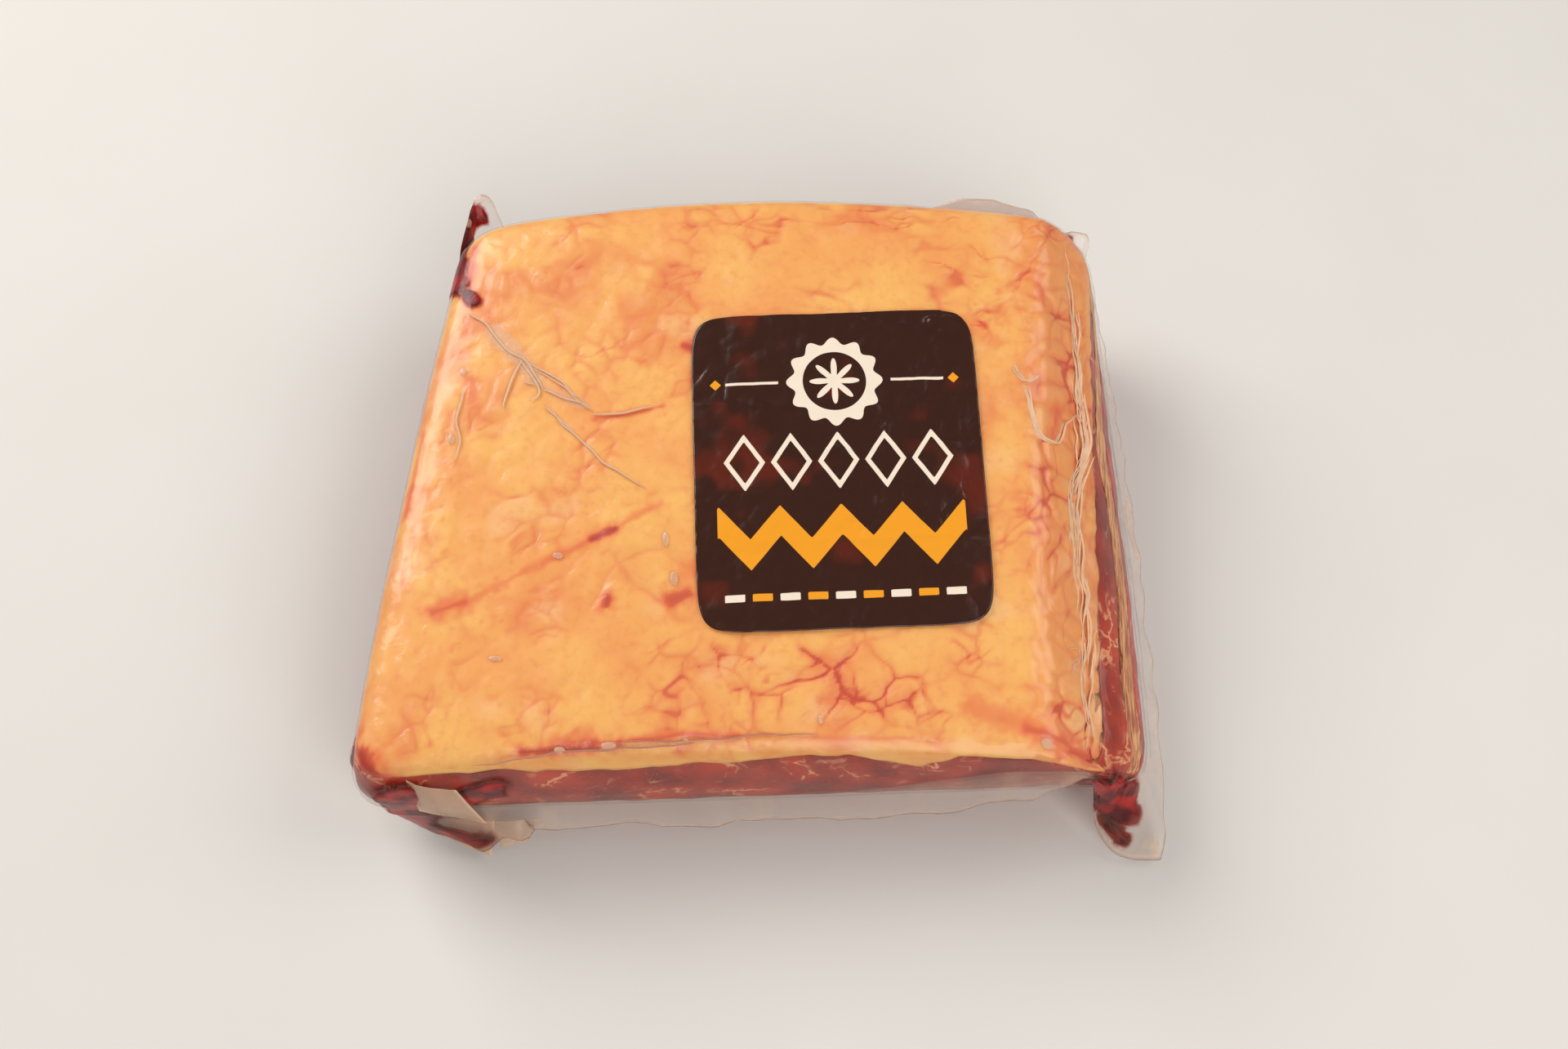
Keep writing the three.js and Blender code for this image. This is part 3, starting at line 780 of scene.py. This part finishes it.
def bag_edge(at):
    """The fin's free edge, which leaves the even fin where an ear's line is given."""
    edge = fin_edge(at)
    for line in EAR_LINES:
        line = np.asarray(line, float)
        first, last = line[0, 0], line[-1, 0]
        near = (at - first + 2) % 4 - 2 + first
        path = np.stack([np.interp(near, line[:, 0], line[:, k]) for k in (1, 2, 3)], -1)
        share = smooth(near, first - 0.04, first) * smooth(near, last + 0.04, last)
        edge = between(edge, path, share[..., None])
    for _ in range(2):
        edge = (np.roll(edge, 1, 0) + 2 * edge + np.roll(edge, -1, 0)) / 4
    return edge


def surface_normals(rings):
    """Outward directions of a sheet of rings, from its steps across and along the rings."""
    run = np.roll(rings, -1, 1) - np.roll(rings, 1, 1)
    normal = np.cross(np.gradient(rings, axis=0), run)
    return normal / (np.linalg.norm(normal, axis=-1)[..., None] + 1e-9)


def pocket_shares(points, pockets):
    """Greatest share times strength over the pockets: each is a capsule with a wavy edge,
    full inside and 0 from its radius outwards."""
    wave = noise(points[..., 0] + points[..., 2], points[..., 1] - points[..., 2], 5, 73)
    wave = wave + 0.5 * noise(points[..., 0], points[..., 1] + points[..., 2], 2.2, 74)
    full = np.zeros(points.shape[:-1])
    for start, end, radius, strength in pockets:
        start, run = np.asarray(start, float), np.subtract(end, start)
        share = np.clip(((points - start) @ run) / (run @ run), 0, 1)[..., None]
        distance = np.linalg.norm(points - start - share * run, axis=-1) / radius
        full = np.maximum(full, strength * smooth(1.15 - distance + 0.22 * wave, 0, 0.45))
    return full


def film_rings():
    """The bag as one closed sheet: over the top, down to the weld, out along the fin's upper
    film, back along its lower film, down and in under the meat."""
    along = np.linspace(0, 1, FILM_AROUND + 1)[:-1]
    at = np.concatenate([k + along - 0.13 * np.sin(2 * np.pi * along) for k in range(4)])
    u, v = side_place(at)
    root = root_height(at) / top_height(u, v)
    split = 1.3 / top_height(u, v)
    out = np.concatenate([np.linspace(0.02, 1, FILM_OVER) ** 0.94, np.ones(FILM_DOWN)])[:, None]
    down = np.linspace(0, 1, FILM_DOWN + 1)[1:]
    down = np.concatenate([np.zeros(FILM_OVER), down])[:, None]
    over = block_point(u * out, v * out, between(1, root + split, down))
    over, _ = fat_surface(over, u * out, v * out)
    over = over + surface_normals(over) * SHEET_GAP + [0, 0, MEAT_LIFT]
    over = over + surface_normals(over) * pocket_shares(over, JUICE)[..., None]
    lower = np.linspace(0, 1, 12)[:, None]
    under_side = block_point(u, v, between(root - split, 0, lower))
    under_side = under_side + surface_normals(under_side) * SHEET_GAP
    inward = np.linspace(1, 0.02, 14)[1:, None]
    under = under_side[-1] * np.concatenate([inward, inward, 0 * inward], 1)[:, None]
    edge = bag_edge(at)
    start, end = over[-1], under_side[0]
    across = np.linspace(0, 1, 18)[:, None, None]
    middle = between((start + end) / 2, edge, across)
    run = np.roll(edge, -1, 0) - np.roll(edge, 1, 0)
    normal = np.cross(run, edge - (start + end) / 2)
    normal = normal / np.linalg.norm(normal, axis=-1)[..., None]
    length = at * 200
    reach = np.linalg.norm(edge - (start + end) / 2, axis=-1)
    sway = 0.7 * noise(length, length * 0, 11, 71) + 0.35 * noise(length, length * 0, 4.5, 72)
    sway = sway * np.minimum(reach / 9, 1.6) * across[..., 0] * (1.4 - 0.4 * across[..., 0])
    middle = middle - normal * sway[..., None]
    half = 0.15 + 1.15 * (1 - np.minimum(across / 0.2, 1)) ** 2
    half = half + pocket_shares(middle, JUICE)[..., None] / 2 * (1 - across ** 4)
    upper_fin, lower_fin = middle - normal * half, middle + normal * half
    upper_fin[0], lower_fin[0] = start, end
    rings = np.concatenate([over, upper_fin[1:], lower_fin[::-1][1:-1], under_side, under])
    rings[..., 2] = np.maximum(rings[..., 2], 0)
    fin_share = np.concatenate([np.zeros(len(over)), across[1:, 0, 0], across[::-1, 0, 0][1:-1],
                                np.zeros(len(under_side) + len(under))])
    return rings, at, fin_share[:, None]


def film_material():
    """Shrink film: several clear layers of polyamide and polyethylene, 0.1 mm in all. It is
    seen by its gloss, by a faint milk where two sheets lie on each other, and by the red of
    the juice behind it. The same milk paints highlights in white along its pleats and folded
    edges, on its bubbles and at glints."""
    material, tree, output = new_material("clear_barrier_film")
    haze_and_glare, juice, run, ribbed = mesh_values(tree, "haze_and_glare", "juice", "run", "ribbed")
    place = object_place(tree)
    # Embossed ribs are 0.55 mm apart on the real film. They are drawn 1.1 mm apart to show.
    wave = worked_out(tree, "SINE", worked_out(tree, "MULTIPLY", run, 2 * math.pi / 1.1))
    ribs = worked_out(tree, "MULTIPLY", wave, ribbed)
    crinkle = soft_pattern(tree, place, 160, 4, distortion=1.2)[0]
    bump = raised(tree, worked_out(tree, "MULTIPLY_ADD", ribs, 0.12, crinkle), 0.5, 0.0008)
    # Thin juice at a pocket's edge lets red light through.
    wet = ramp(tree, juice, 0, 0.5)
    clear = add_node(tree, "ShaderNodeBsdfTransparent", {
        "Color": colour_mix(tree, wet, (1, 1, 1, 1), linear("#C42418"))})
    gloss = add_node(tree, "ShaderNodeBsdfGlossy", {"Roughness": 0.12, "Normal": bump})
    # A thin film bounces the same share of light from both its sides: 0.025 seen straight on,
    # because it lies wet on the meat, and more by the fifth power of the slant.
    slant = add_node(tree, "ShaderNodeLayerWeight", {0: 0.5, "Normal": bump})
    fifth = worked_out(tree, "POWER", slant.outputs["Facing"], 5)
    bounce = worked_out(tree, "MULTIPLY_ADD", fifth, 0.35, 0.025)
    pane = add_node(tree, "ShaderNodeMixShader", {0: bounce, 1: clear.outputs[0],
                                                  2: gloss.outputs[0]})
    # Thin juice is red, deep juice nearly black.
    deep = ramp(tree, soft_pattern(tree, place, 150, 3)[0], 0.4, 0.62)
    red = colour_mix(tree, deep, linear("#5A080C"), linear("#AC1A18"))
    # The milk shows the haze of doubled film, and also painted highlights: white lines, spots and
    # glints where folds catch the light.
    milk_and_glare = add_node(tree, "ShaderNodeBsdfPrincipled", {
        "Base Color": colour_mix(tree, wet, linear("#ECC6A4"), red), "Roughness": 0.28,
        "Normal": bump, "Specular IOR Level": 0.35})
    body = worked_out(tree, "MAXIMUM", haze_and_glare, ramp(tree, juice, 0.2, 0.9))
    film = add_node(tree, "ShaderNodeMixShader", {0: body, 1: pane.outputs[0],
                                                  2: milk_and_glare.outputs[0]})
    tree.links.new(film.outputs[0], output.inputs[0])
    return material


def film_bag():
    """The film with its haze and painted glare, the juice seen through it, and the ribs
    along the front.
    """
    rings, at, fin_share = film_rings()
    fin = fin_share > 0
    x, y = rings[..., 0], rings[..., 1]
    cloud = smooth(noise(x, y, 9, 75) + 0.5 * noise(x, y, 3.5, 76), 0.2, 1.1)
    rim = np.exp(-((1 - fin_share) / 0.06) ** 2)
    haze_and_glare = np.where(fin, 0.06 + 0.12 * cloud + 0.35 * rim, 0.01 + 0.02 * cloud)
    # Frosty patches and painted glints whiten the film over its milk.
    frost_and_glare = pocket_shares(rings, FROST_AND_GLARE)
    juice = np.minimum(pocket_shares(rings, [(*pocket[:3], 1) for pocket in JUICE]), 1)
    ribbed = np.where(fin & (at > 0.25) & (at < 0.88), 1.0, 0.0)
    return ring_bodies("film", [rings], {"haze_and_glare": [np.clip(np.maximum(haze_and_glare, frost_and_glare), 0, 1)],
                                         "juice": [juice * (1 - frost_and_glare) * 0.92],
                                         "run": [at * 210], "ribbed": [ribbed]})


film_finish = film_material()
finish_piece(film_bag(), film_finish, "film", "vacuum_bag")

# Folds of the bag. Each flap is a doubled corner of film: its four corners in mm, how far it
# bulges, and its haze.
FLAPS = (
    (((-106, -93, 9.5), (-80.5, -95, 10), (-104, -96, 6.5), (-82, -104.3, 3.2)), 1.2, 0.42),
    (((-81, -95, 9), (-67.5, -94.4, 10.5), (-79, -101.5, 3.6), (-70.5, -100.3, 6)), 0.8, 0.36),
    (((-100, -92.5, 45.5), (-86, -95, 44), (-99, -97.5, 30), (-81.5, -97.5, 15.5)), 2.4, 0.36),
)


def sheet_body(name, grid, thickness, values, shown_below=1):
    """A thin closed body from a grid of points, its back straight below its front. The
    values count on the back by shown_below."""
    rows, columns, _ = grid.shape
    count = rows * columns
    over, border = grid_faces(columns, rows)
    following = np.roll(border, -1)
    edge = np.stack([border, border + count, following + count, following], 1)
    points = np.concatenate([grid.reshape(-1, 3), grid.reshape(-1, 3) - np.asarray(thickness)])
    full = {key: np.concatenate([number.ravel(), number.ravel() * shown_below])
            for key, number in values.items()}
    return add_object(name, points, [over, over[:, ::-1] + count, edge], full)


for number, (corners, bulge, flap_haze) in enumerate(FLAPS):
    flap_s, flap_t = np.meshgrid(np.linspace(0, 1, 34), np.linspace(1, 0, 24))
    p00, p10, p01, p11 = np.asarray(corners, float)
    flap = between(between(p00, p10, flap_s[..., None]), between(p01, p11, flap_s[..., None]),
                   flap_t[..., None])
    facing = np.cross(p10 - p00, p00 - p01)
    facing = facing / np.linalg.norm(facing)
    swell = bulge * np.sin(np.pi * flap_s) * np.sin(np.pi * (0.15 + 0.85 * flap_t))
    swell = swell + 0.4 * noise(flap_s * 26, flap_t * 12, 6, 93 + number)
    flap = flap + facing * swell[..., None]
    margin = np.minimum(np.minimum(flap_s, 1 - flap_s) * 24, (1 - flap_t) * 11)
    # The flap's edges get 0.4 more milk: more haze where the film folds over, and a painted
    # highlight along the fold.
    flap_values = {"haze_and_glare": np.clip(flap_haze + 0.4 * np.exp(-(margin / 0.7) ** 2), 0, 1),
                   "juice": 0 * margin, "run": 0 * margin, "ribbed": 0 * margin}
    flap_piece = sheet_body(f"film_flap_{number + 1}", flap, facing * 0.25, flap_values)
    finish_piece(flap_piece, film_finish, "film")

# Pleats where the bag's corner is gathered over the fat, and the film's creases along the
# front, which hold a little juice, both whitened along their crests as painted highlights:
# each a path in plan and its half width in mm.
PLEATS = (
    (((-91, 50), (-84.3, 45.3), (-77.8, 36.6), (-70.5, 32.1), (-65.8, 23.6)), 0.5),
    (((-65.8, 23.6), (-59, 20.5), (-53, 18.4), (-51.2, 16.5)), 0.4),
    (((-72.6, 33.8), (-76.2, 26.5), (-77.1, 22.1), (-78, 18)), 0.4),
    (((-74, 34), (-70, 29), (-66.5, 22), (-70, 19.5)), 0.4), (((-72, 26), (-69, 25)), 0.3),
    (((-70.5, 32.1), (-62, 27), (-55, 20.5)), 0.35),
    (((-69, 30.5), (-60, 24.2), (-52.5, 17)), 0.3),
    (((-63.6, 17.7), (-59.4, 12), (-52.9, 5.7), (-44.4, -2), (-34.5, -7.7)), 0.4),
    (((-66, 18), (-61, 14.5), (-56, 9)), 0.35),
    (((-90, 24), (-92, 14), (-90, 8), (-91.5, 1)), 0.35),
    (((-51, 15.5), (-42, 15.6), (-33, 18)), 0.35),
)
CREASES = (
    (((-80, -90), (-69, -88.1), (-57.7, -86.3), (-34.7, -84.5), (-18.7, -83.3)), 0.3),
    (((-40, -83.6), (-18.7, -82.2), (-5.6, -81.2), (15.7, -81)), 0.25),
)
# Bubbles of air between the film and the fat, whitened as painted highlights: centre in plan
# and half sizes in mm.
BUBBLES = (
    (-56.4, -85.4, 1.6, 1.1), (-42.7, -84, 2.2, 1.2), (-21, -82.4, 1, 0.6), (80.3, -83.5, 1.7, 1.6),
    (-59.4, -28.8, 1.6, 1), (-28.1, -24, 1, 2.4), (-25.4, -35.8, 1.2, 2.2), (-75.9, -59.3, 2, 0.8),
    (16.8, -76.7, 0.8, 1.3), (-93, 8, 1.2, 1.8), (-91, 30, 1, 1.3),
)


def dome(x, y, half_x, half_y, height=0.45):
    """A low dome on the film over the fat, wider than it is high."""
    angle = np.linspace(0, 2 * np.pi, 25)[:-1]
    out = np.array([0.15, 0.4, 0.65, 0.85, 0.97, 1, 0.6])[:, None]
    px, py = x + half_x * out * np.cos(angle), y + half_y * out * np.sin(angle)
    rise = height * np.sqrt(np.maximum(1 - out ** 2, 0)) * (np.arange(7) < 6)[:, None]
    return np.stack([px, py, top_at(px, py) + SHEET_GAP - 0.05 + rise], -1)


folds = [tube(laid(path, SHEET_GAP + 0.1), half, 0.8) for path, half in PLEATS + CREASES]
folds += [dome(*bubble) for bubble in BUBBLES]
kinds = np.repeat([0, 1, 2], [len(PLEATS), len(CREASES), len(BUBBLES)])
# Haze of 0.7, 0.55 and 0.34 whitens the pleats, creases and bubbles as painted highlights.
fold_values = {"haze_and_glare": np.array([0.7, 0.55, 0.34])[kinds], "juice": np.array([0, 0.22, 0])[kinds],
               "run": 0 * kinds, "ribbed": 0 * kinds}
finish_piece(ring_bodies("film_pleats", folds, fold_values), film_finish, "film")


# The label: a printed sheet of dark plastic stuck on the film over the fat, with round
# corners. The print is a generic one: a rosette, a row of outlined lozenges, an orange
# zigzag and a dashed line, over faint warm clouds.
LABEL_SIZE = (86, 100)
LABEL_CENTRE = (22.8, -0.9)
LABEL_TURN = math.radians(2.3)
LABEL_THICKNESS = 0.3
LABEL_CORNER_POWER = 11
LABEL_GRID = (200, 232)


def label_print(p, q):
    """Distances in mm inside the print's cream and orange shapes at places on the label,
    from its middle, and its warm clouds. Each shape is above 0 inside."""
    ring = np.hypot(p, q - 27)
    angle = np.arctan2(q - 27, p)
    rosette = 13.5 + 1.1 * np.cos(12 * angle) - ring
    hollow = ring - 9.6
    petals = 7.6 * (0.62 + 0.38 * np.cos(8 * angle)) - ring
    cream = np.maximum(np.minimum(rosette, hollow), petals)
    rules = np.minimum(0.45 - abs(q - 27), np.minimum(abs(p) - 17, 33 - abs(p)))
    cream = np.maximum(cream, rules)
    beads = 1.7 - (abs(abs(p) - 36) + abs(q - 27))
    lozenge = (abs((p + 35) % 14 - 7) / 6.2 + abs(q - 1.5) / 9.2)
    outline = 0.8 - abs(lozenge - 0.86) * 6
    outline = np.minimum(outline, 35 - abs(p))
    cream = np.maximum(cream, outline)
    wave = abs((p + 36) % 18 - 9) * 1.15 - 5.2
    zigzag = np.minimum(3.1 - abs(q + 22 - wave) * 0.66, 36.5 - abs(p))
    dash = np.minimum(np.minimum(1.1 - abs(q + 40), 2.9 - abs((p + 36) % 8 - 4)), 36 - abs(p))
    odd = np.floor((p + 36) / 8) % 2 == 0
    cream = np.maximum(cream, np.where(odd, dash, -1))
    orange = np.maximum(np.maximum(zigzag, beads), np.where(odd, -1, dash))
    glow = smooth(noise(p, q, 13, 81) + 0.5 * noise(p, q, 5, 82), 0.25, 1.1)
    return {"cream": cream, "orange": orange, "glow": glow}


def label_sheet():
    """A grid over the label, bent to the fat below it, with a thin edge and a flat back."""
    columns, rows = LABEL_GRID
    s, t = np.meshgrid(np.linspace(-1, 1, columns), np.linspace(-1, 1, rows))
    reach, mean = rounding(LABEL_CORNER_POWER, s, t)
    p, q = s * reach / mean * LABEL_SIZE[0] / 2, t * reach / mean * LABEL_SIZE[1] / 2
    c, sn = math.cos(LABEL_TURN), math.sin(LABEL_TURN)
    x, y = LABEL_CENTRE[0] + p * c - q * sn, LABEL_CENTRE[1] + p * sn + q * c
    wrinkle = 0.16 * noise(p, q, 17, 83) + 0.1 * noise(p, q * 2.4, 8, 84)
    for height, depth in ((5.5, 0.35), (-23.5, 0.25), (20, 0.2)):
        line = q - height - 1.2 * noise(p, p * 0, 12, 85 + int(height))
        here = smooth(noise(p, q, 30, 86), -0.4, 0.3)
        wrinkle = wrinkle + depth * np.exp(-(line / 1.1) ** 2) * here
    top = np.stack([x, y, top_at(x, y) + SHEET_GAP + LABEL_THICKNESS + 0.15 + wrinkle], -1)
    values = {key: number.astype(float) for key, number in label_print(p, q).items()}
    return sheet_body("label_sheet", top, [0, 0, LABEL_THICKNESS], values, 0)


def label_material():
    """Printed polypropylene label: black ink warmed with brown under a gloss varnish, which
    is slightly crinkled. Print edges are as sharp as the press makes them, 0.1 mm."""
    material, tree, output = new_material("printed_gloss_label")
    cream, orange, glow = mesh_values(tree, "cream", "orange", "glow")
    warm = worked_out(tree, "MULTIPLY", glow, 0.3)
    base = colour_mix(tree, warm, linear("#36180C"), linear("#8C2810"))
    for shape, ink in ((cream, "#F0DFCB"), (orange, "#EE9C22")):
        base = colour_mix(tree, ramp(tree, shape, -0.06, 0.06), base, linear(ink))
    crinkle = soft_pattern(tree, object_place(tree), 210, 3, distortion=0.6)[0]
    surface(tree, output, base, 0.3, Normal=raised(tree, crinkle, 0.25, 0.0005),
            Specular_IOR_Level=0.35, Coat_Weight=0.2, Coat_Roughness=0.12)
    return material


finish_piece(label_sheet(), label_material(), "label", "label")


# The stage: a plain pale floor, soft light from large panels, and the camera where the
# photographer stood, looking down on the pack from the front.
CAMERA_PLACE = (6.5, -213.5, 483)
CAMERA_PITCH = 65.414
LENS, SENSOR = 36.5625, 36


def floor_material():
    """Matt studio paper, pale and faintly uneven."""
    material, tree, output = new_material("matt_studio_paper")
    pulp = soft_pattern(tree, object_place(tree), 12, 2)[0]
    surface(tree, output, colour_mix(tree, pulp, linear("#D8D4CE"), linear("#DEDAD5")), 0.8)
    return material


def light_panel(name, place, size, power, colour):
    """A square light panel that faces the pack."""
    data = bpy.data.lights.new(name, "AREA")
    data.size = size
    data.energy = power
    data.color = colour
    panel = bpy.data.objects.new(name, data)
    panel.location = place
    panel.rotation_euler = (-panel.location).to_track_quat("-Z", "Y").to_euler()
    bpy.context.scene.collection.objects.link(panel)


floor_edge = 2500 * np.array([[-1, -1, 0], [1, -1, 0], [1, 1, 0], [-1, 1, 0]])
floor = add_object("floor", floor_edge - [0, 0, 0.3], [np.array([[0, 1, 2, 3]])])
floor.data.materials.append(floor_material())

light_panel("window", (-0.95, 0.75, 1.0), 0.9, 19, (1, 0.98, 0.95))
light_panel("fill", (0.5, -1.1, 1.1), 1.2, 15, (1, 0.98, 0.96))
light_panel("side", (1.2, 0.3, 1.2), 1.0, 9, (1, 0.99, 0.97))
world = bpy.data.worlds.new("studio")
world.use_nodes = True
world.node_tree.nodes["Background"].inputs[0].default_value = (1, 0.99, 0.98, 1)
world.node_tree.nodes["Background"].inputs[1].default_value = 0.16
bpy.context.scene.world = world
bpy.context.scene.view_settings.view_transform = "Standard"

camera_data = bpy.data.cameras.new("camera")
camera_data.sensor_width = SENSOR
camera_data.lens = LENS
camera = bpy.data.objects.new("camera", camera_data)
camera.location = [value * MM for value in CAMERA_PLACE]
camera.rotation_euler = (math.radians(90 - CAMERA_PITCH), 0, 0)
bpy.context.scene.collection.objects.link(camera)
bpy.context.scene.camera = camera
